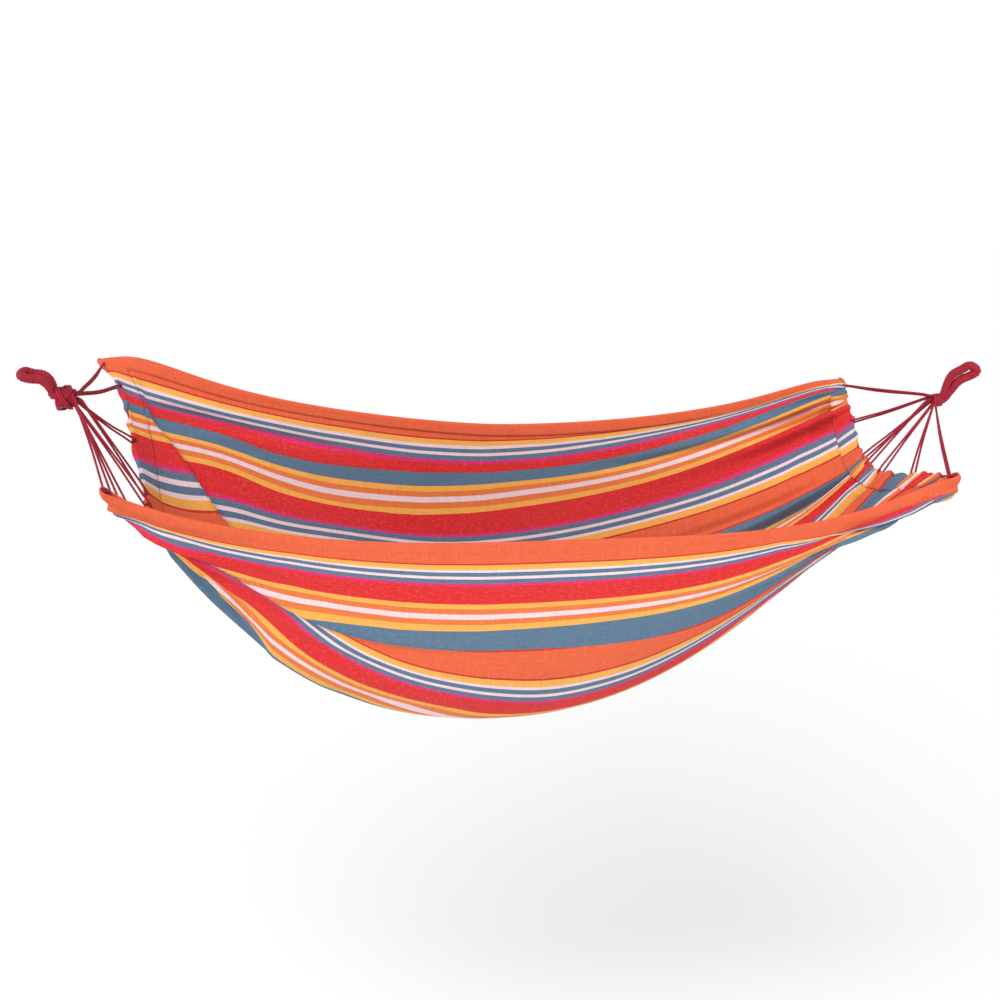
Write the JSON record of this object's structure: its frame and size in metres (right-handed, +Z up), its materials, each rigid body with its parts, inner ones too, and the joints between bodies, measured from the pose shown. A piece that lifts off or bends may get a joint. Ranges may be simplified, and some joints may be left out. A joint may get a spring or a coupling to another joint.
{
  "type": "cloth and rope hammock",
  "caption": "Striped cloth hammock hanging as a trough between two gathered hems, held by fanned cord clews that run to a bound neck and a served hanging eye at each end.",
  "frame": {"origin": "where the left hook bears inside the left hanging eye", "axes": "+X from the left eye to the right one along the hammock, +Y from the front side of the cloth to the back side, +Z up"},
  "size_m": [2.3301, 0.536, 0.8908],
  "materials": {
    "striped_canvas": "woven cotton canvas in lengthwise stripes of orange, red, yellow, pale pink, slate blue and magenta, matte",
    "clew_cord": "laid crimson cord, soft sheen",
    "hem_cord": "laid crimson cord, soft sheen",
    "serving_cord": "crimson cord wound close, soft sheen",
    "sewing_thread": "orange sewing thread"
  },
  "bodies": {
    "hanging_loops": {"left_eye_core": "clew_cord", "left_eye_serving": "serving_cord", "left_neck_binding": "serving_cord", "right_eye_core": "clew_cord", "right_eye_serving": "serving_cord", "right_neck_binding": "serving_cord"},
    "bed": {"bed_cloth": "striped_canvas", "left_clew_1": "clew_cord", "left_clew_2": "clew_cord", "left_clew_3": "clew_cord", "left_clew_4": "clew_cord", "left_clew_5": "clew_cord", "left_clew_6": "clew_cord", "left_clew_7": "clew_cord", "right_clew_1": "clew_cord", "right_clew_2": "clew_cord", "right_clew_3": "clew_cord", "right_clew_4": "clew_cord", "right_clew_5": "clew_cord", "right_clew_6": "clew_cord", "right_clew_7": "clew_cord", "left_hem_cord": "hem_cord", "right_hem_cord": "hem_cord", "front_side_thread": "sewing_thread", "back_side_thread": "sewing_thread", "left_tunnel_thread": "sewing_thread", "right_tunnel_thread": "sewing_thread"}
  },
  "joints": [
    {"name": "bed_swing", "type": "hinge", "parent": "hanging_loops", "child": "bed", "pos_m": [0.09948, 0, -0.04969], "axis": [1, 0, 0], "range_deg": [-40, 40]}
  ]
}
